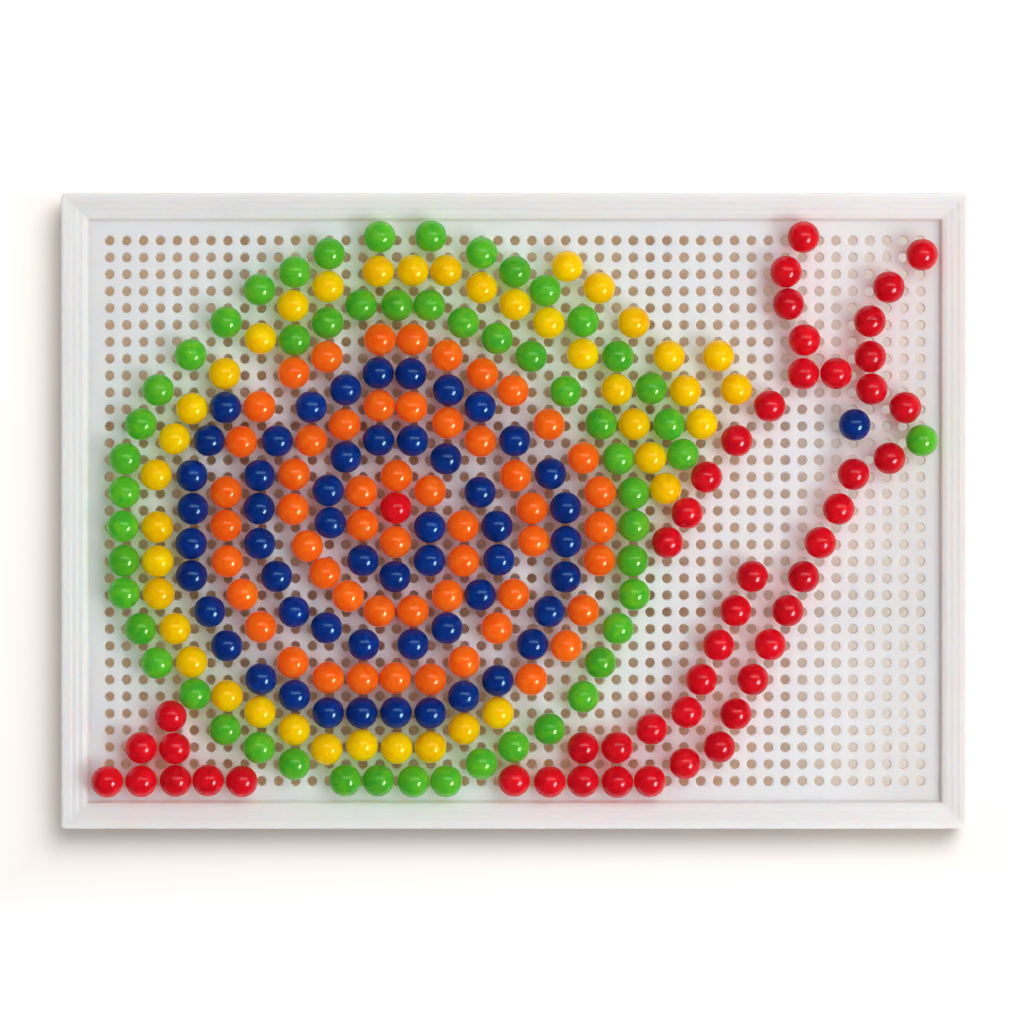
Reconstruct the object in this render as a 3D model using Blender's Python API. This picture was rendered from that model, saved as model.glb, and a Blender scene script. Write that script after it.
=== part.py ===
"""Peg mosaic board: a white perforated board with a stepped rim, and mushroom pegs set out as a snail.

Metres, +Z up. The origin is the middle of the board's underside, on the table. +X runs along the
board to the snail's head, and +Y runs to its back edge.
"""

import math

import bmesh
import bpy

# ---- hole grid ----------------------------------------------------------------------------------
HOLE_PITCH = 0.0054
HOLE_RADIUS = 0.0015  # to the flats of the six-sided hole
HOLE_SIDES = 6

# ---- board --------------------------------------------------------------------------------------
EDGE_MARGIN = 0.015  # outer edge to the first row of holes
CORNER_RADIUS = 0.0013
INNER_CORNER_RADIUS = 0.0004
CORNER_STEPS = 3
RIM_TOP_Z = 0.0140
RISERS = (0.0031, 0.0051, 0.0071)  # outer edge to each step down
STEP_DROP = 0.0006
SLOPE_INSET = 0.0080  # outer edge to the top of the rim's inner slope
RIM_WIDTH = 0.0087  # outer edge to the foot of that slope
PLATE_TOP_Z = 0.0110
PLATE_THICKNESS = 0.0025
SKIRT_WALL = 0.0018
RIM_ROOF_Z = 0.0112  # hollow under the rim, just inside the skirt
RIM_ROOF_DROP = 0.0010  # how far that roof falls before it slopes to the plate
RIB_WIDTH = 0.0012
RIB_FOOT_Z = 0.0005  # ribs stop short of the table, so only the skirt rests on it
RIB_COLUMNS = (-16.5, -8.5, 8.5, 16.5)  # in hole pitches, between two columns of holes
RIB_ROWS = (-5.5, 5.5)
RIB_BITE = 0.0008  # how far a rib runs into the skirt and the plate

# ---- peg ----------------------------------------------------------------------------------------
PEG_SIDES = 10
HEAD_RADIUS = 0.0051
DOME_HEIGHT = 0.0046
DOME_RINGS = 2
EQUATOR_Z = 0.0175
BRIM_RADIUS = 0.0044  # lower edge of the head
BRIM_Z = 0.0162
NECK_RADIUS = 0.0021
NECK_TOP_Z = 0.0158
SHOULDER_GAP = 0.0003  # shoulder of the neck to the plate it rests on
STEM_RADIUS = 0.0012
TIP_RADIUS = 0.0010
TIP_Z = 0.0025

# ---- layout: one character for each hole, back row first ----------------------------------------
# A capital is a peg built as a solid. A small letter is a hole that takes a peg of the same colour
# as its capital. A dot is a hole left empty.
PEG_CHART = """
................G..g.....................L.......
.............g........g.........................J
...........g....y.y.y...g..y............L........
.........g...y........Y...g..y................J..
...........y...g.g.g....y...............L........
.......g.....g.......g....y.g..y.............J...
.........y.g....o.o....g.................L.......
.....g.......o......o....g..y.g..y..y........J...
.......y...o....b.b...o..................H.H.....
...g..........b.....b...o..g..y.g.y..y.......H...
.....y.b.o..b...o.o...b................H.......H.
..g...........o.....o.....o..g.y.g.y........E....
....y.b.O.b.o...b.b...o.b............H..........M
.g............b.....b.......o.g.y.g...........H..
...y.b...b.o.....o......O.b........N........H....
.g.....o.....b.o...o..b......o.G.y...............
.....b...b.o.....C.......o.b......N........N.....
.g.Y...o.....b.o...b.o.b.....o.g.................
.....b...b..o....o.......o.b.....N........N......
.g.y...o.......b...b.o.b.....o.g.................
.....b....b..o...b.........b..........N..N.......
.g.y....o.....o.....o.b.o......g.................
......b....b....o.o.......b.o........N..N........
..g.y....o...b......b..o......g..................
.......b.......b..b......b.o........N..N.........
...g.y.....o.........o.......g...................
.........b...o.o.o.o...b.o.........N..N..........
.....g.y...b.........b......g....................
....T....y...b.b.B.b...y..........N..N...........
.......g...y.........y....g.....F................
..T.T....g...y.y.y.y....g...F.F.....F............
...........g..........g...........F..............
T.T.T.T.T.....g.g.g.g...F.F.F.F.F................
""".split()

PEG_KINDS = {
    "T": ("snail_tail_peg", "peg_red"),
    "F": ("snail_foot_peg", "peg_red"),
    "N": ("snail_neck_peg", "peg_red"),
    "H": ("snail_head_peg", "peg_red"),
    "L": ("snail_left_horn_peg", "peg_red"),
    "J": ("snail_right_horn_peg", "peg_red"),
    "C": ("shell_centre_peg", "peg_red"),
    "E": ("eye_peg", "peg_blue"),
    "M": ("mouth_peg", "peg_green"),
    "G": ("shell_green_peg", "peg_green"),
    "Y": ("shell_yellow_peg", "peg_yellow"),
    "O": ("shell_orange_peg", "peg_orange"),
    "B": ("shell_blue_peg", "peg_blue"),
}

PLASTICS = {
    "board_white": ((0.80, 0.81, 0.82), 0.38),
    "peg_red": ((0.62, 0.006, 0.010), 0.16),
    "peg_orange": ((0.90, 0.13, 0.010), 0.16),
    "peg_yellow": ((0.92, 0.52, 0.005), 0.16),
    "peg_green": ((0.02, 0.32, 0.030), 0.16),
    "peg_blue": ((0.006, 0.030, 0.22), 0.16),
}

ROWS = len(PEG_CHART)
COLUMNS = len(PEG_CHART[0])
BOARD_LENGTH = (COLUMNS - 1) * HOLE_PITCH + 2 * EDGE_MARGIN
BOARD_WIDTH = (ROWS - 1) * HOLE_PITCH + 2 * EDGE_MARGIN
PLATE_BOTTOM_Z = PLATE_TOP_Z - PLATE_THICKNESS


def clear_scene():
    for old in list(bpy.data.objects):
        bpy.data.objects.remove(old, do_unlink=True)


def make_plastic(name):
    colour, roughness = PLASTICS[name]
    plastic = bpy.data.materials.new(name)
    plastic.use_nodes = True
    shader = plastic.node_tree.nodes["Principled BSDF"]
    shader.inputs["Base Color"].default_value = (*colour, 1.0)
    shader.inputs["Roughness"].default_value = roughness
    shader.inputs["Metallic"].default_value = 0.0
    plastic.diffuse_color = (*colour, 1.0)
    return plastic


def add_object(name, mesh, parent=None):
    thing = bpy.data.objects.new(name, mesh)
    bpy.context.scene.collection.objects.link(thing)
    thing.parent = parent
    return thing


def mesh_from(shape, name):
    bmesh.ops.recalc_face_normals(shape, faces=shape.faces)
    mesh = bpy.data.meshes.new(name)
    shape.to_mesh(mesh)
    shape.free()
    return mesh


def hole_xy(column, row):
    """Centre of a hole on the board."""
    x = (column - (COLUMNS - 1) / 2) * HOLE_PITCH
    y = ((ROWS - 1) / 2 - row) * HOLE_PITCH
    return x, y


def filled_holes():
    """Every charted hole, as (letter, column, row)."""
    for row, line in enumerate(PEG_CHART):
        for column, letter in enumerate(line):
            if letter != ".":
                yield letter, column, row


def lofted_solid(loops):
    """A closed solid through loops of equal length, with its first and last loops filled."""
    shape = bmesh.new()
    rings = [[shape.verts.new(point) for point in loop] for loop in loops]
    for lower, upper in zip(rings, rings[1:]):
        for i, vertex in enumerate(lower):
            following = (i + 1) % len(lower)
            shape.faces.new((vertex, lower[following], upper[following], upper[i]))
    shape.faces.new(reversed(rings[0]))
    shape.faces.new(rings[-1])
    return shape


# ---- board --------------------------------------------------------------------------------------
def rounded_rectangle(inset, z):
    """The board's outline moved inwards by an inset, with rounded corners."""
    half_x = BOARD_LENGTH / 2 - inset
    half_y = BOARD_WIDTH / 2 - inset
    radius = max(CORNER_RADIUS - inset, INNER_CORNER_RADIUS)
    loop = []
    for corner in range(4):
        side_x = 1 if corner in (0, 3) else -1
        side_y = 1 if corner in (0, 1) else -1
        for step in range(CORNER_STEPS + 1):
            angle = math.radians(90) * (corner + step / CORNER_STEPS)
            x = side_x * (half_x - radius) + radius * math.cos(angle)
            y = side_y * (half_y - radius) + radius * math.sin(angle)
            loop.append((x, y, z))
    return loop


def board_section():
    """The board's section as (inset, z), from under the plate, round the skirt, to the plate's top."""
    section = [
        (RIM_WIDTH, PLATE_BOTTOM_Z),
        (RISERS[1], RIM_ROOF_Z - RIM_ROOF_DROP),
        (SKIRT_WALL, RIM_ROOF_Z),
        (SKIRT_WALL, 0.0),
        (0.0, 0.0),
        (0.0, RIM_TOP_Z),
    ]
    ledge_z = RIM_TOP_Z
    for riser in RISERS:
        section.append((riser, ledge_z))
        ledge_z -= STEP_DROP
        section.append((riser, ledge_z))
    section.append((SLOPE_INSET, ledge_z))
    section.append((RIM_WIDTH, PLATE_TOP_Z))
    return section


def box_between(shape, low, high):
    """Add a closed box with two opposite corners to a shape."""
    made = bmesh.ops.create_cube(shape, size=1.0)["verts"]
    for vertex in made:
        vertex.co = [low[k] + (high[k] - low[k]) * (vertex.co[k] + 0.5) for k in range(3)]


def rib_guide(name, along_y):
    """Parallel ribs that run across the hollow under the plate."""
    shape = bmesh.new()
    top_z = PLATE_BOTTOM_Z + RIB_BITE
    for place in RIB_COLUMNS if along_y else RIB_ROWS:
        middle = place * HOLE_PITCH
        reach = (BOARD_WIDTH if along_y else BOARD_LENGTH) / 2 - SKIRT_WALL + RIB_BITE
        low = (middle - RIB_WIDTH / 2, -reach)
        high = (middle + RIB_WIDTH / 2, reach)
        if not along_y:
            low, high = low[::-1], high[::-1]
        box_between(shape, (*low, RIB_FOOT_Z), (*high, top_z))
    return add_object(name, mesh_from(shape, name))


def hole_cutter():
    """One prism through the plate at every charted hole."""
    shape = bmesh.new()
    overshoot = PLATE_THICKNESS / 2
    corner_radius = HOLE_RADIUS / math.cos(math.pi / HOLE_SIDES)
    for _, column, row in filled_holes():
        x, y = hole_xy(column, row)
        rings = []
        for z in (PLATE_BOTTOM_Z - overshoot, PLATE_TOP_Z + overshoot):
            ring = []
            for side in range(HOLE_SIDES):
                angle = 2 * math.pi * side / HOLE_SIDES
                dx = corner_radius * math.cos(angle)
                dy = corner_radius * math.sin(angle)
                ring.append(shape.verts.new((x + dx, y + dy, z)))
            rings.append(ring)
        lower, upper = rings
        for side in range(HOLE_SIDES):
            following = (side + 1) % HOLE_SIDES
            shape.faces.new((lower[side], lower[following], upper[following], upper[side]))
        shape.faces.new(reversed(lower))
        shape.faces.new(upper)
    return add_object("hole_cutter", mesh_from(shape, "hole_cutter"))


def apply_guide(target, guide, operation):
    """Join a guide to the target, or cut it out, and hide the guide from renders."""
    guide.hide_render = True
    guide.display_type = "WIRE"
    boolean = target.modifiers.new(guide.name, "BOOLEAN")
    boolean.operation = operation
    boolean.solver = "EXACT"
    boolean.object = guide


def build_board():
    loops = [rounded_rectangle(inset, z) for inset, z in board_section()]
    board = add_object("peg_board", mesh_from(lofted_solid(loops), "peg_board"))
    board.data.materials.append(make_plastic("board_white"))
    apply_guide(board, rib_guide("cross_ribs", along_y=True), "UNION")
    apply_guide(board, rib_guide("long_ribs", along_y=False), "UNION")
    apply_guide(board, hole_cutter(), "DIFFERENCE")
    return board


# ---- pegs ---------------------------------------------------------------------------------------
def peg_section():
    """The peg's turned section as (radius, z), from its tip to just under the top of the dome."""
    section = [
        (TIP_RADIUS, TIP_Z),
        (STEM_RADIUS, PLATE_TOP_Z + SHOULDER_GAP),
        (NECK_RADIUS, PLATE_TOP_Z + SHOULDER_GAP),
        (NECK_RADIUS, NECK_TOP_Z),
        (BRIM_RADIUS, BRIM_Z),
    ]
    for ring in range(DOME_RINGS + 1):
        angle = math.radians(90) * ring / (DOME_RINGS + 1)
        section.append((HEAD_RADIUS * math.cos(angle), EQUATOR_Z + DOME_HEIGHT * math.sin(angle)))
    return section


def peg_mesh(colour):
    """A peg about its own axis, with the dome closed by a fan to its crown."""
    shape = bmesh.new()
    rings = []
    for radius, z in peg_section():
        ring = []
        for side in range(PEG_SIDES):
            angle = 2 * math.pi * side / PEG_SIDES
            ring.append(shape.verts.new((radius * math.cos(angle), radius * math.sin(angle), z)))
        rings.append(ring)
    crown = shape.verts.new((0.0, 0.0, EQUATOR_Z + DOME_HEIGHT))
    for side in range(PEG_SIDES):
        following = (side + 1) % PEG_SIDES
        for lower, upper in zip(rings, rings[1:]):
            shape.faces.new((lower[side], lower[following], upper[following], upper[side]))
        shape.faces.new((rings[-1][side], rings[-1][following], crown))
    shape.faces.new(reversed(rings[0]))
    mesh = mesh_from(shape, colour)
    mesh.materials.append(make_plastic(colour))
    mesh.shade_smooth()
    mesh.set_sharp_from_angle(angle=math.radians(50))
    return mesh


def build_pegs(board):
    """Set one peg in each hole that is charted with a capital, numbered within its kind."""
    meshes = {colour: peg_mesh(colour) for colour in PLASTICS if colour.startswith("peg_")}
    chart = "".join(PEG_CHART).upper()
    placed = dict.fromkeys(PEG_KINDS, 0)
    for letter, column, row in filled_holes():
        if letter not in PEG_KINDS:
            continue
        kind, colour = PEG_KINDS[letter]
        placed[letter] += 1
        name = f"{kind}_{placed[letter]:02d}" if chart.count(letter) > 1 else kind
        peg = add_object(name, meshes[colour], parent=board)
        peg.location = (*hole_xy(column, row), 0.0)


clear_scene()
build_pegs(build_board())
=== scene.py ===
"""Looks of the peg mosaic board: a perforated white moulding and its glossy mushroom pegs.

Everything is in metres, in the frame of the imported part: +Z up, the board's underside at z 0.
"""

import math
import random
from typing import NamedTuple

import bmesh
import bpy
import numpy as np
from mathutils import Matrix, Vector


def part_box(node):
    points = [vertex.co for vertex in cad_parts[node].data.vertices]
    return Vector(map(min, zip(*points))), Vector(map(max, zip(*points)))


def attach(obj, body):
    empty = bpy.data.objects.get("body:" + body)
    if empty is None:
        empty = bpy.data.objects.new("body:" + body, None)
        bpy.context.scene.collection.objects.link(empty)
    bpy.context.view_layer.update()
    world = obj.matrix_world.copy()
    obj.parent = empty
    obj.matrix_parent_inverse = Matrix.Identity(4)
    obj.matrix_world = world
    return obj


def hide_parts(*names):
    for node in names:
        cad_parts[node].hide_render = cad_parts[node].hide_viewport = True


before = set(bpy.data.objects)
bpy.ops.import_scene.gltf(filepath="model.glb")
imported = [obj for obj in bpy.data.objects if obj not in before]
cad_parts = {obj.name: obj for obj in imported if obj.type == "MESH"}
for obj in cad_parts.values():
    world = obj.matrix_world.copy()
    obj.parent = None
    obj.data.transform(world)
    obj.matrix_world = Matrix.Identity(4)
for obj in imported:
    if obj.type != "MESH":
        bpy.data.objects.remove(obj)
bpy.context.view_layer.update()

MM = 0.001

# ---- layout: one character for each hole, back row first ----------------------------------------
# A capital is a peg that the frame holds as a node. A small letter is a peg of the same colour as
# its capital, and rides with the nodes of that capital. A dot is an empty hole.
PEG_CHART = """
................G..g.....................L.......
.............g........g.........................J
...........g....y.y.y...g..y............L........
.........g...y........Y...g..y................J..
...........y...g.g.g....y...............L........
.......g.....g.......g....y.g..y.............J...
.........y.g....o.o....g.................L.......
.....g.......o......o....g..y.g..y..y........J...
.......y...o....b.b...o..................H.H.....
...g..........b.....b...o..g..y.g.y..y.......H...
.....y.b.o..b...o.o...b................H.......H.
..g...........o.....o.....o..g.y.g.y........E....
....y.b.O.b.o...b.b...o.b............H..........M
.g............b.....b.......o.g.y.g...........H..
...y.b...b.o.....o......O.b........N........H....
.g.....o.....b.o...o..b......o.G.y...............
.....b...b.o.....C.......o.b......N........N.....
.g.Y...o.....b.o...b.o.b.....o.g.................
.....b...b..o....o.......o.b.....N........N......
.g.y...o.......b...b.o.b.....o.g.................
.....b....b..o...b.........b..........N..N.......
.g.y....o.....o.....o.b.o......g.................
......b....b....o.o.......b.o........N..N........
..g.y....o...b......b..o......g..................
.......b.......b..b......b.o........N..N.........
...g.y.....o.........o.......g...................
.........b...o.o.o.o...b.o.........N..N..........
.....g.y...b.........b......g....................
....T....y...b.b.B.b...y..........N..N...........
.......g...y.........y....g.....F................
..T.T....g...y.y.y.y....g...F.F.....F............
...........g..........g...........F..............
T.T.T.T.T.....g.g.g.g...F.F.F.F.F................
""".split()

# letter: (name of its nodes, material slot, body of its small letters)
PEG_KINDS = {
    "T": ("snail_tail_peg", "peg_red", None),
    "F": ("snail_foot_peg", "peg_red", None),
    "N": ("snail_neck_peg", "peg_red", None),
    "H": ("snail_head_peg", "peg_red", None),
    "L": ("snail_left_horn_peg", "peg_red", None),
    "J": ("snail_right_horn_peg", "peg_red", None),
    "C": ("shell_centre_peg", "peg_red", None),
    "E": ("eye_peg", "peg_blue", None),
    "M": ("mouth_peg", "peg_green", None),
    "G": ("shell_green_peg", "peg_green", "shell_pegs_green"),
    "Y": ("shell_yellow_peg", "peg_yellow", "shell_pegs_yellow"),
    "O": ("shell_orange_peg", "peg_orange", "shell_pegs_orange"),
    "B": ("shell_blue_peg", "peg_blue", "shell_pegs_blue"),
}
ROWS, COLUMNS = len(PEG_CHART), len(PEG_CHART[0])
MIDDLE_ROW, MIDDLE_COLUMN = (ROWS - 1) / 2, (COLUMNS - 1) / 2

# ---- sizes from the frame -----------------------------------------------------------------------
board_low, board_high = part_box("peg_board")
mouth_low, mouth_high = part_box("mouth_peg")
BOARD_CENTRE = (board_low + board_high) / 2
HALF_LENGTH = (board_high.x - board_low.x) / 2
HALF_WIDTH = (board_high.y - board_low.y) / 2
MOUTH_COLUMN = next(row.index("M") for row in PEG_CHART if "M" in row)
PITCH = ((mouth_low.x + mouth_high.x) / 2 - BOARD_CENTRE.x) / (MOUTH_COLUMN - MIDDLE_COLUMN)
HEAD_RADIUS = (mouth_high.x - mouth_low.x) / 2
CROWN_Z = mouth_high.z
TIP_Z = mouth_low.z
RIM_Z = board_high.z

# ---- board sizes --------------------------------------------------------------------------------
PLATE_TOP = RIM_Z - 3.0 * MM
PLATE_BOTTOM = PLATE_TOP - 2.5 * MM
HOLE_RADIUS = 1.6 * MM
HOLE_FOOT_RADIUS = 1.4 * MM
HOLE_CHAMFER = 0.08 * MM
HOLE_SEGMENTS = 16
RIM_RISERS = (3.1 * MM, 5.1 * MM, 7.1 * MM)  # outer edge to the middle of each step down
RISER_RUN = 0.7 * MM  # how far in a step takes to come down
LEDGE_DROP = 0.42 * MM  # from one ledge of the rim to the next
LEDGE_SLOPE = 0.1 * MM  # how far a ledge falls before the next step
RIM_ROUNDING = 0.6 * MM
RIM_FOOT = 8.7 * MM  # outer edge to the foot of the rim's inner wall
SKIRT_WALL = 1.8 * MM
OUTER_CORNER = 1.3 * MM
INNER_CORNER = 0.5 * MM
CORNER_STEPS = 6
BOARD_SHARP_EDGE = math.radians(35)
RIB_WIDTH = 1.2 * MM
RIB_FOOT = 0.5 * MM
RIB_BITE = 0.6 * MM  # how far a rib goes into the plate and the skirt
RIB_COLUMNS = (-16.5, -8.5, 8.5, 16.5)  # columns from the middle one, so between two holes
RIB_ROWS = (-5.5, 5.5)  # rows from the middle one

# ---- peg sizes ----------------------------------------------------------------------------------
PEG_SEGMENTS = 32
DOME_RINGS = 10
PEG_SHARP_EDGE = math.radians(55)
DOME_HEIGHT = 4.6 * MM
EQUATOR_Z = CROWN_Z - DOME_HEIGHT
NECK_RADIUS = 2.1 * MM
STEM_RADIUS = 1.2 * MM
TIP_RADIUS = 1.0 * MM
SEAT_GAP = 0.05 * MM  # shoulder of the neck to the plate
HEAD_GAP = 0.12 * MM  # left between two heads that push each other aside
LEAN_USUAL = (0.0, 0.55 * MM)  # mean drift of the heads from their holes
LEAN_SPREAD = 0.25 * MM  # how much that differs from head to head along one axis
CLOSE_HOLES = 2.5 * PITCH  # heads of pegs this close can meet
PUSH_ROUNDS = 60
BEND_LOW, BEND_HIGH = PLATE_BOTTOM + 0.5 * MM, PLATE_TOP + 1.0 * MM
SEED = 49


def hole_xy(column, row):
    """Centre of a hole on the board."""
    x = BOARD_CENTRE.x + (column - MIDDLE_COLUMN) * PITCH
    y = BOARD_CENTRE.y + (MIDDLE_ROW - row) * PITCH
    return x, y


def add_object(name, mesh):
    """Put a mesh in the scene as an object."""
    thing = bpy.data.objects.new(name, mesh)
    bpy.context.scene.collection.objects.link(thing)
    return thing


# ---- node helpers -------------------------------------------------------------------------------
class Graph:
    """A material's node tree, with short ways to add and link nodes."""

    def __init__(self, name):
        self.material = bpy.data.materials.new(name)
        self.material.use_nodes = True
        self.tree = self.material.node_tree
        self.shader = self.tree.nodes["Principled BSDF"]
        self.object_space = self.add("ShaderNodeTexCoord").outputs["Object"]

    def add(self, kind, inputs=None, **settings):
        """Add a node with its settings, and link or set its inputs."""
        node = self.tree.nodes.new(kind)
        for key, value in settings.items():
            setattr(node, key, value)
        for key, value in (inputs or {}).items():
            self.feed(node.inputs[key], value)
        return node

    def feed(self, socket, value):
        """Link a socket to an output, or set its value."""
        if isinstance(value, bpy.types.NodeSocket):
            self.tree.links.new(value, socket)
        else:
            socket.default_value = value

    def noise(self, scale, detail=2.0, roughness=0.5, distortion=0.0):
        """Noise from 0 to 1 whose blobs are about 1/scale metres across."""
        made = self.add(
            "ShaderNodeTexNoise",
            {
                "Vector": self.object_space,
                "Scale": scale,
                "Detail": detail,
                "Roughness": roughness,
                "Distortion": distortion,
            },
        )
        return made.outputs["Fac"]

    def remap(self, value, low, high, to_low, to_high):
        """A straight line from to_low at low to to_high at high, level beyond them."""
        made = self.add(
            "ShaderNodeMapRange",
            {"Value": value, "From Min": low, "From Max": high, "To Min": to_low, "To Max": to_high},
        )
        return made.outputs["Result"]

    def axis(self, name):
        """The X, Y or Z of the point in metres."""
        made = self.add("ShaderNodeSeparateXYZ", {"Vector": self.object_space})
        return made.outputs[name]

    def ramp(self, value, low, high):
        """0 below low, 1 above high, and a soft rise between them."""
        made = self.add(
            "ShaderNodeMapRange",
            {"Value": value, "From Min": low, "From Max": high},
            interpolation_type="SMOOTHSTEP",
        )
        return made.outputs["Result"]

    def math(self, operation, first, second=0.0):
        """One step of arithmetic on values or outputs."""
        made = self.add("ShaderNodeMath", {0: first, 1: second}, operation=operation)
        return made.outputs[0]

    def past_rectangle(self, half_x, half_y):
        """How far a point is outside a rectangle about the Z axis, below 0 inside it."""
        past_x = self.math("SUBTRACT", self.math("ABSOLUTE", self.axis("X")), half_x)
        past_y = self.math("SUBTRACT", self.math("ABSOLUTE", self.axis("Y")), half_y)
        return self.math("MAXIMUM", past_x, past_y)

    # the mix node's colour sockets, which share their names with its number and vector sockets
    COLOUR_A, COLOUR_B, COLOUR_RESULT = 6, 7, 2

    def mix(self, factor, first, second, blend="MIX"):
        """Blend two colours."""
        made = self.add("ShaderNodeMix", data_type="RGBA", blend_type=blend)
        self.feed(made.inputs["Factor"], factor)
        self.feed(made.inputs[self.COLOUR_A], first)
        self.feed(made.inputs[self.COLOUR_B], second)
        return made.outputs[self.COLOUR_RESULT]

    def bump(self, height, strength, distance):
        """A normal that makes the surface look uneven."""
        made = self.add(
            "ShaderNodeBump", {"Height": height, "Strength": strength, "Distance": distance}
        )
        return made.outputs["Normal"]

    def glow_through(self, colour, share):
        """Let light that has bounced once pass through, where subsurface scattering stops."""
        rays = self.add("ShaderNodeLightPath")
        through = self.add("ShaderNodeBsdfTranslucent", {"Color": colour})
        factor = self.math("MULTIPLY", rays.outputs["Is Diffuse Ray"], share)
        mixed = self.add(
            "ShaderNodeMixShader", {0: factor, 1: self.shader.outputs[0], 2: through.outputs[0]}
        )
        self.feed(self.tree.nodes["Material Output"].inputs["Surface"], mixed.outputs[0])


def rgb(red, green, blue):
    """An opaque colour from linear values."""
    return (red, green, blue, 1.0)


BLACK = rgb(0.0, 0.0, 0.0)


# ---- board plastic ------------------------------------------------------------------------------
PLATE_SHADES = rgb(0.70, 0.72, 0.74), rgb(0.725, 0.745, 0.765)
RIM_SHADES = rgb(0.715, 0.72, 0.73), rgb(0.735, 0.74, 0.75)
SHADE_START, SHADE_END = PLATE_TOP + 0.2 * MM, PLATE_TOP + 1.6 * MM  # from plate to rim shades
BOARD_ROUGHNESS = 0.36, 0.48
BOARD_REACH = 6.0 * MM  # how far red light goes in
BOARD_REACH_SHARES = (1.0, 0.62, 0.42)  # the same for red, green and blue, as shares of red
BOARD_THROUGH = rgb(1.0, 0.83, 0.66)  # colour of the light that comes out below
BOARD_THROUGH_SHARE = 0.56
# painted shade on the plate towards its right-hand end, and a narrower band of painted shadow at the
# rim's foot: how dark, and over how far
BROAD_PAINTED_SHADE, BROAD_SHADE_WIDTH = 0.12, 40 * MM
NARROW_PAINTED_SHADE, NARROW_SHADE_WIDTH = 0.16, 3 * MM
CLOUDS, SMUDGES, GRAIN = 18.0, 160.0, 2600.0  # blobs a metre


def painted_right_end_shade(g):
    """How much painted shade darkens the plate towards its right-hand end, most of all in the rim's
    painted shadow at its foot.
    """
    x = g.axis("X")
    end, side = HALF_LENGTH - RIM_FOOT, HALF_WIDTH - RIM_FOOT
    broad = g.math("MULTIPLY", g.ramp(x, end - BROAD_SHADE_WIDTH, end), BROAD_PAINTED_SHADE)
    narrow = g.math("MULTIPLY", g.ramp(x, end - NARROW_SHADE_WIDTH, end), NARROW_PAINTED_SHADE)
    inside = g.math("SUBTRACT", 1.0, g.ramp(g.past_rectangle(end, side), 0.0, 0.5 * MM))
    return g.math("MULTIPLY", g.math("ADD", broad, narrow), inside)


def board_plastic():
    """White moulded plastic that lets some warm light through."""
    g = Graph("board_white")
    mottle = g.remap(g.noise(CLOUDS, detail=3.0), 0.35, 0.65, 0.0, 1.0)
    plate = g.mix(mottle, *PLATE_SHADES)
    # painted shade: the plate darkens towards its right-hand end and in the rim's shadow at its foot
    plate = g.mix(painted_right_end_shade(g), plate, BLACK)
    rim = g.mix(mottle, *RIM_SHADES)
    rim_share = g.remap(g.axis("Z"), SHADE_START, SHADE_END, 0.0, 1.0)
    g.feed(g.shader.inputs["Base Color"], g.mix(rim_share, plate, rim))
    g.feed(g.shader.inputs["Roughness"], g.remap(g.noise(SMUDGES), 0.3, 0.7, *BOARD_ROUGHNESS))
    g.feed(g.shader.inputs["Subsurface Weight"], 1.0)
    g.feed(g.shader.inputs["Subsurface Radius"], BOARD_REACH_SHARES)
    g.feed(g.shader.inputs["Subsurface Scale"], BOARD_REACH)
    g.feed(g.shader.inputs["IOR"], 1.49)
    g.feed(g.shader.inputs["Normal"], g.bump(g.noise(GRAIN), 0.08, 0.05 * MM))
    g.glow_through(BOARD_THROUGH, BOARD_THROUGH_SHARE)
    return g.material


# ---- peg plastic --------------------------------------------------------------------------------
class Pigment(NamedTuple):
    """How the plastic of one colour of pegs takes and gives light."""

    usual: tuple  # colour between the streaks
    deep: tuple  # colour of the dark streaks
    light: tuple  # colour of the light streaks
    reach: tuple  # how far red, green and blue light go in, as shares of PEG_REACH
    through: tuple  # colour of the light that comes out below
    glint: tuple  # tint of reflections
    painted_glow: tuple  # painted light: a glow from the plastic that lifts the heads' shaded side


PEG_REACH = 8.0 * MM
PEG_ROUGHNESS = 0.14, 0.20
PEG_THROUGH_SHARE = 0.92
TONE_RANGE = 0.90, 1.10  # brightness of the darkest and the lightest peg of a colour
STREAKS, SMEARS, RIPPLES = 210.0, 420.0, 500.0  # blobs a metre
PIGMENTS = {
    "peg_red": Pigment(
        usual=rgb(0.58, 0.004, 0.014),
        deep=rgb(0.47, 0.003, 0.010),
        light=rgb(0.65, 0.010, 0.018),
        reach=(1.0, 0.14, 0.12),
        through=rgb(1.0, 0.08, 0.10),
        glint=rgb(0.95, 0.52, 0.56),
        painted_glow=BLACK,
    ),
    "peg_orange": Pigment(
        usual=rgb(0.66, 0.124, 0.007),
        deep=rgb(0.63, 0.094, 0.005),
        light=rgb(0.69, 0.170, 0.010),
        reach=(1.7, 0.70, 0.15),
        through=rgb(1.0, 0.20, 0.04),
        glint=rgb(1.0, 0.74, 0.42),
        painted_glow=rgb(0.20, 0.008, 0.0),
    ),
    "peg_yellow": Pigment(
        usual=rgb(0.86, 0.50, 0.001),
        deep=rgb(0.81, 0.42, 0.001),
        light=rgb(0.89, 0.55, 0.002),
        reach=(1.5, 1.10, 0.12),
        through=rgb(0.92, 0.84, 0.07),
        glint=rgb(0.90, 0.74, 0.26),
        painted_glow=rgb(0.06, 0.0, 0.0),
    ),
    "peg_green": Pigment(
        usual=rgb(0.095, 0.38, 0.022),
        deep=rgb(0.050, 0.34, 0.026),
        light=rgb(0.15, 0.42, 0.018),
        reach=(0.18, 1.6, 0.20),
        through=rgb(0.50, 0.95, 0.16),
        glint=rgb(0.66, 0.88, 0.48),
        painted_glow=BLACK,
    ),
    "peg_blue": Pigment(
        usual=rgb(0.003, 0.027, 0.195),
        deep=rgb(0.004, 0.020, 0.15),
        light=rgb(0.003, 0.040, 0.25),
        reach=(0.10, 0.25, 1.0),
        through=rgb(0.04, 0.05, 0.28),
        glint=rgb(0.38, 0.72, 0.92),
        painted_glow=BLACK,
    ),
}


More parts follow.
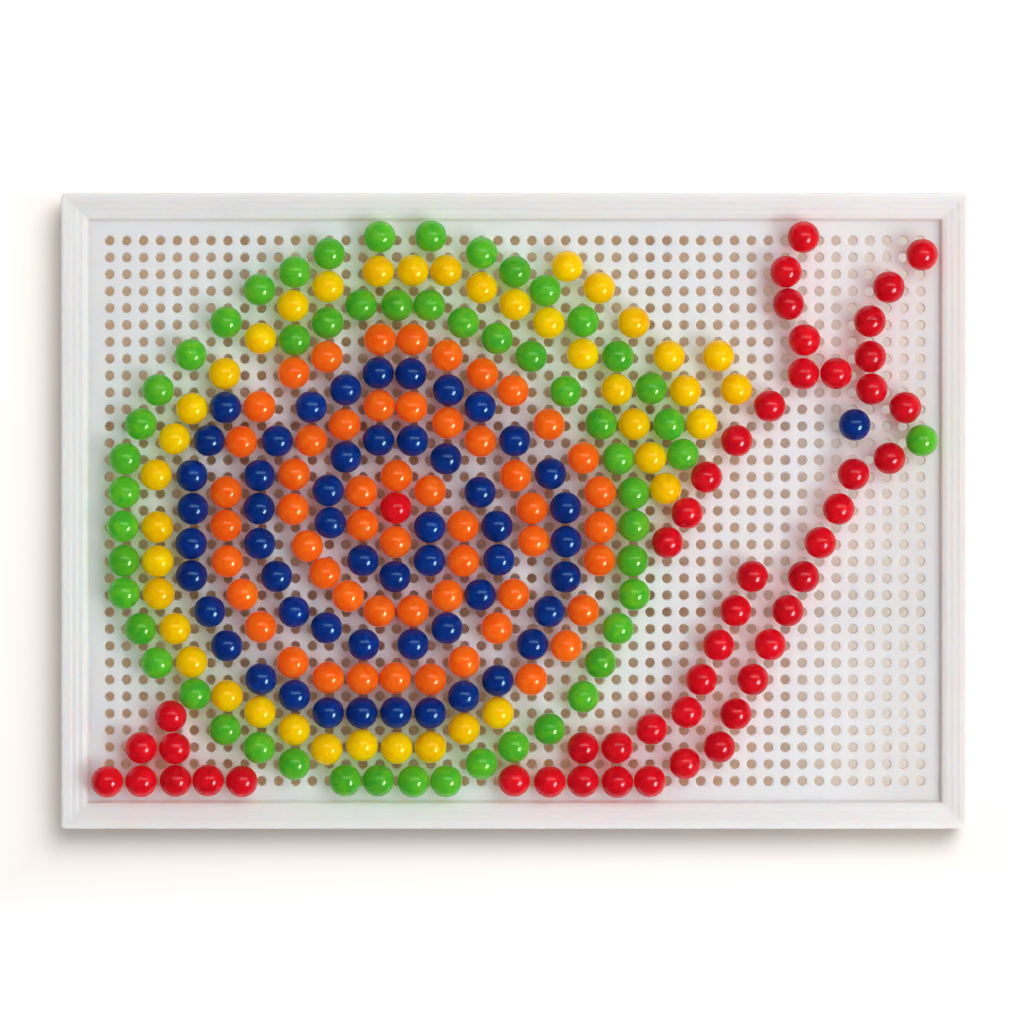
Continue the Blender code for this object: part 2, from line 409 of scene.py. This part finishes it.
def peg_plastic(slot):
    """Glossy plastic, slightly streaked, whose tone differs a little from peg to peg."""
    pigment = PIGMENTS[slot]
    g = Graph(slot)
    streak = g.noise(STREAKS, detail=3.0, roughness=0.6, distortion=1.2)
    colour = g.mix(g.remap(streak, 0.34, 0.5, 1.0, 0.0), pigment.usual, pigment.deep)
    colour = g.mix(g.remap(streak, 0.52, 0.68, 0.0, 1.0), colour, pigment.light)
    tone = g.add("ShaderNodeAttribute", attribute_name="tone").outputs["Fac"]
    shade = g.add("ShaderNodeHueSaturation", {"Color": colour})
    g.feed(shade.inputs["Value"], g.remap(tone, -1.0, 1.0, *TONE_RANGE))
    g.feed(g.shader.inputs["Base Color"], shade.outputs["Color"])
    g.feed(g.shader.inputs["Roughness"], g.remap(g.noise(SMEARS), 0.3, 0.7, *PEG_ROUGHNESS))
    g.feed(g.shader.inputs["Specular Tint"], pigment.glint)
    # Painted light: orange and yellow heads glow a little, which lifts their shaded side.
    if any(pigment.painted_glow[:3]):
        g.feed(g.shader.inputs["Emission Color"], pigment.painted_glow)
        g.feed(g.shader.inputs["Emission Strength"], 1.0)
    g.feed(g.shader.inputs["Subsurface Weight"], 1.0)
    g.feed(g.shader.inputs["Subsurface Radius"], pigment.reach)
    g.feed(g.shader.inputs["Subsurface Scale"], PEG_REACH)
    g.feed(g.shader.inputs["IOR"], 1.5)
    g.feed(g.shader.inputs["Normal"], g.bump(g.noise(RIPPLES, detail=1.0), 0.03, 0.05 * MM))
    g.glow_through(pigment.through, PEG_THROUGH_SHARE)
    return g.material


# ---- board --------------------------------------------------------------------------------------
def rounded_path(points, radius, steps=3):
    """A polyline with each inner corner rounded as far as its sides allow."""
    path = [points[0]]
    for before, corner, after in zip(points, points[1:], points[2:]):
        corner = Vector(corner)
        to_before, to_after = Vector(before) - corner, Vector(after) - corner
        cut = min(radius, to_before.length * 0.45, to_after.length * 0.45)
        start = corner + to_before.normalized() * cut
        end = corner + to_after.normalized() * cut
        for step in range(steps + 1):
            t = step / steps
            bend = start.lerp(corner, t).lerp(corner.lerp(end, t), t)
            path.append(tuple(bend))
    path.append(points[-1])
    return path


def rim_section():
    """The outer side and the stepped rim as (inset, z), from the skirt's foot to the plate."""
    outline = [(0.0, 0.0), (0.0, RIM_Z), (1.2 * MM, RIM_Z), (1.6 * MM, RIM_Z - 0.15 * MM)]
    ledge_z = RIM_Z - 0.15 * MM
    for riser in RIM_RISERS:
        outline.append((riser - RISER_RUN / 2, ledge_z - LEDGE_SLOPE))
        ledge_z -= LEDGE_DROP
        outline.append((riser + RISER_RUN / 2, ledge_z))
    outline.append((RIM_FOOT - RISER_RUN, ledge_z - LEDGE_SLOPE))
    outline.append((RIM_FOOT, PLATE_TOP))
    outline.append((RIM_FOOT + 0.6 * MM, PLATE_TOP))
    return rounded_path(outline, RIM_ROUNDING)


def hollow_section():
    """The hollow under the rim as (inset, z), from under the plate to the skirt's foot."""
    outline = [
        (RIM_FOOT + 0.4 * MM, PLATE_BOTTOM),
        (RIM_FOOT - 1.0 * MM, PLATE_BOTTOM),
        (6.0 * MM, RIM_Z - 3.4 * MM),
        (SKIRT_WALL, RIM_Z - 2.8 * MM),
        (SKIRT_WALL, 0.3 * MM),
        (SKIRT_WALL - 0.3 * MM, 0.0),
        (0.3 * MM, 0.0),
    ]
    return rounded_path(outline, 0.4 * MM)


def outline_loop(inset, z):
    """The board's outline moved inwards, anticlockwise from the middle of its +X +Y corner."""
    half_x, half_y = HALF_LENGTH - inset, HALF_WIDTH - inset
    radius = max(OUTER_CORNER - inset, INNER_CORNER)
    loop = []
    for corner in range(4):
        side_x = 1 if corner in (0, 3) else -1
        side_y = 1 if corner in (0, 1) else -1
        for step in range(CORNER_STEPS + 1):
            angle = math.radians(90) * (corner + step / CORNER_STEPS)
            x = BOARD_CENTRE.x + side_x * (half_x - radius) + radius * math.cos(angle)
            y = BOARD_CENTRE.y + side_y * (half_y - radius) + radius * math.sin(angle)
            loop.append((x, y, z))
    half = CORNER_STEPS // 2
    return loop[half:] + loop[:half]


class Welded:
    """Collects faces, and gives two corners at one place the same vertex."""

    def __init__(self):
        self.points, self.faces, self.index = [], [], {}

    def vertex(self, point):
        """The number of the vertex at a point, made if there is none within 0.1 micrometre."""
        key = tuple(round(value * 1e7) for value in point)
        if key not in self.index:
            self.index[key] = len(self.points)
            self.points.append(tuple(point))
        return self.index[key]

    def face(self, corners, flip=False):
        """Add one face, whose corners run anticlockwise seen from outside unless flipped."""
        made = [self.vertex(corner) for corner in corners]
        self.faces.append(made[::-1] if flip else made)

    def loft(self, loops):
        """Join each loop to the next with a band of quads."""
        for lower, upper in zip(loops, loops[1:]):
            for i, point in enumerate(lower):
                after = (i + 1) % len(lower)
                self.face((point, lower[after], upper[after], upper[i]))

    def mesh(self, name):
        """The collected faces as a mesh."""
        made = bpy.data.meshes.new(name)
        made.from_pydata(self.points, [], self.faces)
        made.validate()
        return made


def hole_ring(x, y, z, radius):
    """Points round a hole, anticlockwise from +X."""
    ring = []
    for step in range(HOLE_SEGMENTS):
        angle = 2 * math.pi * step / HOLE_SEGMENTS
        ring.append((x + radius * math.cos(angle), y + radius * math.sin(angle), z))
    return ring


def cell_faces(shape, x, y, ring, z, flip):
    """The square of plate round one hole, as four faces from a side of the square to the hole."""
    half = PITCH / 2
    signs = ((1, 1), (-1, 1), (-1, -1), (1, -1))
    corners = [(x + half * side_x, y + half * side_y, z) for side_x, side_y in signs]
    quarter = HOLE_SEGMENTS // 4
    for side in range(4):
        first = quarter // 2 + side * quarter
        arc = [ring[(first + step) % HOLE_SEGMENTS] for step in range(quarter, -1, -1)]
        shape.face([corners[side], corners[(side + 1) % 4], *arc], flip)


def margin_faces(shape, loop, z, flip):
    """The plate between the grid of holes and a loop round it, as one face a side."""
    half_x, half_y = COLUMNS * PITCH / 2, ROWS * PITCH / 2
    middle = BOARD_CENTRE
    across = [middle.x + half_x - PITCH * i for i in range(COLUMNS + 1)]
    down = [middle.y + half_y - PITCH * i for i in range(ROWS + 1)]
    sides = [
        [(x, middle.y + half_y, z) for x in across],
        [(middle.x - half_x, y, z) for y in down],
        [(x, middle.y - half_y, z) for x in reversed(across)],
        [(middle.x + half_x, y, z) for y in reversed(down)],
    ]
    quarter = len(loop) // 4
    for side, grid_side in enumerate(sides):
        outer = [loop[(side * quarter + i) % len(loop)] for i in range(quarter + 1)]
        shape.face([*outer, *reversed(grid_side)], flip)


def rib_grid():
    """Stiffening ribs under the plate, each between two rows of holes, as one object a direction."""
    top = PLATE_BOTTOM + RIB_BITE
    reach_x, reach_y = HALF_LENGTH - SKIRT_WALL + RIB_BITE, HALF_WIDTH - SKIRT_WALL + RIB_BITE
    across = [(place * PITCH, 0.0, RIB_WIDTH, 2 * reach_y) for place in RIB_COLUMNS]
    along = [(0.0, place * PITCH, 2 * reach_x, RIB_WIDTH) for place in RIB_ROWS]
    grids = []
    for name, bars in (("ribs_across", across), ("ribs_along", along)):
        shape = bmesh.new()
        for x, y, size_x, size_y in bars:
            for vertex in bmesh.ops.create_cube(shape, size=1.0)["verts"]:
                vertex.co.x = BOARD_CENTRE.x + x + size_x * vertex.co.x
                vertex.co.y = BOARD_CENTRE.y + y + size_y * vertex.co.y
                vertex.co.z = RIB_FOOT + (top - RIB_FOOT) * (vertex.co.z + 0.5)
        mesh = bpy.data.meshes.new(name)
        shape.to_mesh(mesh)
        shape.free()
        grids.append(add_object(name, mesh))
    return grids


def weld_on(board, grids):
    """Join the ribs to the board as one moulding."""
    for grid in grids:
        union = board.modifiers.new(grid.name, "BOOLEAN")
        union.operation = "UNION"
        union.solver = "MANIFOLD"
        union.object = grid
    evaluated = board.evaluated_get(bpy.context.evaluated_depsgraph_get())
    joined = bpy.data.meshes.new_from_object(evaluated)
    joined.materials.clear()  # the union leaves an empty slot
    board.modifiers.clear()
    plain, board.data = board.data, joined
    bpy.data.meshes.remove(plain)
    for grid in grids:
        mesh = grid.data
        bpy.data.objects.remove(grid)
        bpy.data.meshes.remove(mesh)


def build_board():
    """The board with its whole grid of holes, in place of the frame's simpler one."""
    shape = Welded()
    hollow = [outline_loop(inset, z) for inset, z in hollow_section()]
    rim = [outline_loop(inset, z) for inset, z in rim_section()[1:]]
    shape.loft(hollow + rim)
    margin_faces(shape, rim[-1], PLATE_TOP, flip=False)
    margin_faces(shape, hollow[0], PLATE_BOTTOM, flip=True)
    for row in range(ROWS):
        for column in range(COLUMNS):
            x, y = hole_xy(column, row)
            mouth = hole_ring(x, y, PLATE_TOP, HOLE_RADIUS + HOLE_CHAMFER)
            throat = hole_ring(x, y, PLATE_TOP - HOLE_CHAMFER, HOLE_RADIUS)
            foot = hole_ring(x, y, PLATE_BOTTOM, HOLE_FOOT_RADIUS)
            cell_faces(shape, x, y, mouth, PLATE_TOP, flip=False)
            shape.loft([mouth, throat, foot])
            cell_faces(shape, x, y, foot, PLATE_BOTTOM, flip=True)
    board = add_object("peg_board_moulding", shape.mesh("peg_board_moulding"))
    weld_on(board, rib_grid())
    board.data.materials.append(board_plastic())
    board.data.shade_smooth()
    board.data.set_sharp_from_angle(angle=BOARD_SHARP_EDGE)
    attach(board, "board")
    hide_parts("peg_board")


# ---- pegs ---------------------------------------------------------------------------------------
def peg_section():
    """The peg's turned section as (radius, z), from its tip to the crown of its dome."""
    seat = PLATE_TOP + SEAT_GAP
    brim = EQUATOR_Z - 1.3 * MM
    section = [
        (0.55 * MM, TIP_Z),
        (0.85 * MM, TIP_Z + 0.06 * MM),
        (TIP_RADIUS, TIP_Z + 0.30 * MM),
        (STEM_RADIUS, seat - 0.10 * MM),
        (STEM_RADIUS + 0.08 * MM, seat),
        (NECK_RADIUS - 0.12 * MM, seat),
        (NECK_RADIUS, seat + 0.12 * MM),
        (NECK_RADIUS, brim - 1.0 * MM),
        (NECK_RADIUS + 0.12 * MM, brim - 0.50 * MM),
        (NECK_RADIUS + 0.50 * MM, brim - 0.22 * MM),
        (NECK_RADIUS + 1.20 * MM, brim - 0.12 * MM),
        (HEAD_RADIUS - 0.85 * MM, brim),
        (HEAD_RADIUS - 0.45 * MM, brim + 0.12 * MM),
        (HEAD_RADIUS - 0.18 * MM, brim + 0.38 * MM),
        (HEAD_RADIUS - 0.05 * MM, brim + 0.75 * MM),
        (HEAD_RADIUS - 0.01 * MM, EQUATOR_Z - 0.12 * MM),
        (HEAD_RADIUS, EQUATOR_Z - 0.06 * MM),
    ]
    for ring in range(DOME_RINGS):
        angle = math.radians(90) * ring / DOME_RINGS
        radius = HEAD_RADIUS * math.cos(angle)
        section.append((radius, EQUATOR_Z + DOME_HEIGHT * math.sin(angle)))
    return section


def turned_template():
    """Points and faces of an upright peg about the Z axis."""
    section = peg_section()
    points, faces = [], []
    for radius, z in section:
        for step in range(PEG_SEGMENTS):
            angle = 2 * math.pi * step / PEG_SEGMENTS
            points.append((radius * math.cos(angle), radius * math.sin(angle), z))
    points.append((0.0, 0.0, TIP_Z))
    points.append((0.0, 0.0, CROWN_Z))
    tip, crown = len(points) - 2, len(points) - 1
    last = (len(section) - 1) * PEG_SEGMENTS
    for step in range(PEG_SEGMENTS):
        after = (step + 1) % PEG_SEGMENTS
        for ring in range(len(section) - 1):
            base = ring * PEG_SEGMENTS
            above = base + PEG_SEGMENTS
            faces.append((base + step, base + after, above + after, above + step))
        faces.append((tip, after, step))
        faces.append((last + step, last + after, crown))
    return np.array(points), faces


def head_places(pegs, rng):
    """Where each head's middle ends up: a little off its hole, and pushed clear of close neighbours."""
    holes = np.array([hole_xy(column, row) for _, column, row in pegs])
    heads = holes + np.array([[rng.gauss(mean, LEAN_SPREAD) for mean in LEAN_USUAL] for _ in pegs])
    needed = 2 * HEAD_RADIUS + HEAD_GAP
    close = []
    for i, first in enumerate(holes):
        for j in range(i + 1, len(holes)):
            if np.linalg.norm(first - holes[j]) < CLOSE_HOLES:
                close.append((i, j))
    for _ in range(PUSH_ROUNDS):
        for i, j in close:
            apart = heads[j] - heads[i]
            distance = np.linalg.norm(apart)
            if distance < needed:
                push = apart / distance * (needed - distance) / 2
                heads[i] -= push
                heads[j] += push
    return holes, heads


def leaning(template, hole, head):
    """The template set in its hole, bent inside it and just over it so that its head leans over.

    The leaning part is raised a little, so that the low side of its shoulder clears the plate.
    """
    offset = head - hole
    drift = np.linalg.norm(offset)
    way = offset / drift
    across = np.array((-way[1], way[0]))
    pivot = (BEND_LOW + BEND_HIGH) / 2
    lean = math.asin(drift / (EQUATOR_Z - pivot))
    z = template[:, 2]
    share = np.clip((z - BEND_LOW) / (BEND_HIGH - BEND_LOW), 0.0, 1.0)
    tilt = lean * share
    climb = np.clip(z, BEND_LOW, BEND_HIGH) - BEND_LOW
    along = climb * np.sin(tilt / 2) + np.clip(z - BEND_HIGH, 0.0, None) * math.sin(lean)
    up = np.minimum(z, BEND_HIGH) + np.clip(z - BEND_HIGH, 0.0, None) * math.cos(lean)
    side_way = template[:, :2] @ way
    side_across = template[:, :2] @ across
    flat = along + side_way * np.cos(tilt)
    made = np.empty_like(template)
    made[:, :2] = hole + flat[:, None] * way + side_across[:, None] * across
    made[:, 2] = up - side_way * np.sin(tilt) + NECK_RADIUS * math.sin(lean)
    return made


def build_pegs():
    """All the pegs of the chart, each riding on its own body or on its colour's."""
    rng = random.Random(SEED)
    pegs = []
    for row, line in enumerate(PEG_CHART):
        for column, letter in enumerate(line):
            if letter != ".":
                pegs.append((letter, column, row))
    holes, heads = head_places(pegs, rng)
    template, faces = turned_template()
    chart = "".join(PEG_CHART)
    plastics = {slot: peg_plastic(slot) for slot in PIGMENTS}
    placed = {}
    for (letter, _, _), hole, head in zip(pegs, holes, heads):
        kind, slot, group = PEG_KINDS[letter.upper()]
        placed[letter] = placed.get(letter, 0) + 1
        number = placed[letter] + (chart.count(letter.upper()) if letter.islower() else 0)
        name = kind if chart.upper().count(letter.upper()) == 1 else f"{kind}_{number:02d}"
        mesh = bpy.data.meshes.new(name)
        mesh.from_pydata(leaning(template, hole, head).tolist(), [], faces)
        tone = mesh.attributes.new("tone", "FLOAT", "POINT")
        tone.data.foreach_set("value", np.full(len(template), rng.uniform(-1.0, 1.0), np.float32))
        mesh.materials.append(plastics[slot])
        mesh.shade_smooth()
        mesh.set_sharp_from_angle(angle=PEG_SHARP_EDGE)
        peg = add_object(f"{name}_moulding", mesh)
        if letter.isupper():
            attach(peg, group or name)
            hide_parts(name)
        else:
            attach(peg, group)


# ---- stage --------------------------------------------------------------------------------------
FILL_LIGHT = 0.42  # strength of the studio's even light
FILL_REFLECTION = 0.08  # how bright that light looks in a glossy surface
BACKDROP = 0.93  # how bright it looks to the camera past the edge of the table
FILL_COLOUR = rgb(0.97, 0.985, 1.0)
FRONT_LAMP = (0.60, -0.30, 0.74)  # where the lamp that makes the pegs' bright spots stands
TABLE_SIZE = 8.0
TABLE_GAP = 0.02 * MM  # board's underside to the table
TABLE_SHADES = rgb(0.96, 0.91, 0.86), rgb(0.97, 0.925, 0.875)
UNDER_PAINTED_LIGHT = rgb(0.20, 0.285, 0.33)  # painted light on the table under the board's right-hand end, standing in for light that comes in through that end of the board
UNDER_GLOW_X = 55 * MM, 145 * MM  # where that glow starts, and where it is full
UNDER_GLOW_FADE = 3 * MM  # how far inside the board's edge it ends
NEAR_PAINTED_LIGHT = rgb(0.12, 0.16, 0.21)  # painted light on the table behind the board and round it, which lifts it to white past the board's cast shadow
FAR_GLOW = rgb(0.62, 0.64, 0.66)  # light from the table far from the lamps
AROUND = 8 * MM, 40 * MM  # past the board's edge: no near glow yet, and full near glow
BEHIND = HALF_WIDTH - 1 * MM, HALF_WIDTH + 5 * MM  # the same along Y at the back edge
FAR_OFF = 100 * MM, 1400 * MM  # past the board's edge: near glow, and far glow


def floor_surface():
    """Matt pale table that gives off a little light where the studio's lamps fall short: painted light
    under the board's right-hand end and round the board, and a bright backdrop far off.
    """
    g = Graph("floor")
    tint = g.remap(g.noise(3.0), 0.3, 0.7, 0.0, 1.0)
    g.feed(g.shader.inputs["Base Color"], g.mix(tint, *TABLE_SHADES))
    g.feed(g.shader.inputs["Roughness"], 0.7)
    past_edge = g.past_rectangle(HALF_LENGTH, HALF_WIDTH)
    # Painted light: a glow on the table under the board's right-hand end.
    under = g.math("SUBTRACT", 1.0, g.ramp(past_edge, -UNDER_GLOW_FADE, 0.0))
    rightward = g.math("MULTIPLY", under, g.ramp(g.axis("X"), *UNDER_GLOW_X))
    # Painted light: the table round the board and at its back edge glows, so that only the cast shadow
    # close to the board stays dark.
    outside = g.math("MAXIMUM", g.ramp(past_edge, *AROUND), g.ramp(g.axis("Y"), *BEHIND))
    outer_glow = g.mix(g.ramp(past_edge, *FAR_OFF), NEAR_PAINTED_LIGHT, FAR_GLOW)
    outer_glow = g.mix(outside, BLACK, outer_glow)
    under_painted_light = g.mix(rightward, BLACK, UNDER_PAINTED_LIGHT)
    g.feed(g.shader.inputs["Emission Color"], g.mix(1.0, under_painted_light, outer_glow, blend="LIGHTEN"))
    g.feed(g.shader.inputs["Emission Strength"], 1.0)
    return g.material


def add_floor():
    """A wide table just under the board."""
    shape = bmesh.new()
    bmesh.ops.create_grid(shape, x_segments=2, y_segments=2, size=TABLE_SIZE / 2)
    mesh = bpy.data.meshes.new("floor")
    shape.to_mesh(mesh)
    shape.free()
    mesh.materials.append(floor_surface())
    floor = add_object("floor", mesh)
    floor.location.z = board_low.z - TABLE_GAP
    return floor


def add_area_light(name, direction, distance, length, width, power, along=None):
    """A rectangular light that faces the board from a direction, its length level or along a line."""
    lamp = bpy.data.lights.new(name, "AREA")
    lamp.shape = "RECTANGLE"
    lamp.size, lamp.size_y = length, width
    lamp.energy = power
    thing = bpy.data.objects.new(name, lamp)
    bpy.context.scene.collection.objects.link(thing)
    away = Vector(direction).normalized()
    across = away.cross(along or Vector((0.0, 0.0, 1.0)).cross(away)).normalized()
    turn = Matrix((across.cross(away), across, away)).transposed()
    thing.matrix_world = Matrix.Translation(BOARD_CENTRE + away * distance) @ turn.to_4x4()
    return thing


def link_light(light, thing, state):
    """Let a light reach only one thing (INCLUDE), or all but that thing (EXCLUDE)."""
    group = bpy.data.collections.new(f"{light.name}_receivers")
    group.objects.link(thing)
    light.light_linking.receiver_collection = group
    for member in group.collection_objects:
        member.light_linking.link_state = state


def light_world():
    """Even light all round: dim in reflections, bright where the camera looks past the table."""
    world = bpy.data.worlds.new("studio")
    world.use_nodes = True
    tree = world.node_tree
    background = tree.nodes["Background"]
    background.inputs["Color"].default_value = FILL_COLOUR
    rays = tree.nodes.new("ShaderNodeLightPath")
    fill = tree.nodes.new("ShaderNodeMapRange")
    fill.inputs["To Min"].default_value = FILL_LIGHT
    fill.inputs["To Max"].default_value = FILL_REFLECTION
    tree.links.new(rays.outputs["Is Glossy Ray"], fill.inputs["Value"])
    seen = tree.nodes.new("ShaderNodeMapRange")
    tree.links.new(rays.outputs["Is Camera Ray"], seen.inputs["Value"])
    tree.links.new(fill.outputs["Result"], seen.inputs["To Min"])
    seen.inputs["To Max"].default_value = BACKDROP
    tree.links.new(seen.outputs["Result"], background.inputs["Strength"])
    bpy.context.scene.world = world


def light_scene(floor):
    """Softboxes that light the table or the board, and two lamps that only show in reflections."""
    light_world()
    table = add_area_light(
        "table_softbox", direction=(0.34, 0.46, 1.0), distance=1.6, length=1.0, width=1.0, power=22.5
    )
    key = add_area_light(
        "key_softbox", direction=(0.42, 0.30, 1.0), distance=1.6, length=1.1, width=1.1, power=12.5
    )
    front = add_area_light(
        "front_softbox", direction=FRONT_LAMP, distance=1.8, length=0.90, width=0.60, power=13.0
    )
    link_light(table, floor, "INCLUDE")
    for softbox in (key, front):
        link_light(softbox, floor, "EXCLUDE")
    for softbox in (table, key, front):
        softbox.visible_glossy = False
    strip = add_area_light(
        "strip_reflector",
        direction=(0.22, 0.34, 0.93),
        distance=1.7,
        length=2.0,
        width=0.40,
        power=11.0,
        along=Vector((1.0, 0.0, 0.0)),
    )
    glint = add_area_light(
        "glint_lamp", direction=FRONT_LAMP, distance=1.2, length=0.46, width=0.24, power=13.5
    )
    for reflector in (strip, glint):
        reflector.visible_diffuse = False


CAMERA_HEIGHT = 1091 * MM  # over the plate
CAMERA_OFFSET = (-0.9 * MM, -0.4 * MM)
LENS_MM, SENSOR_MM = 120.0, 36.0


def add_camera():
    """A long lens straight over the board."""
    lens = bpy.data.cameras.new("camera")
    lens.lens = LENS_MM
    lens.sensor_width = SENSOR_MM
    camera = bpy.data.objects.new("camera", lens)
    bpy.context.scene.collection.objects.link(camera)
    camera.location = (*CAMERA_OFFSET, PLATE_TOP + CAMERA_HEIGHT)
    bpy.context.scene.camera = camera


build_board()
build_pegs()
light_scene(add_floor())
add_camera()
bpy.context.scene.view_settings.view_transform = "Standard"
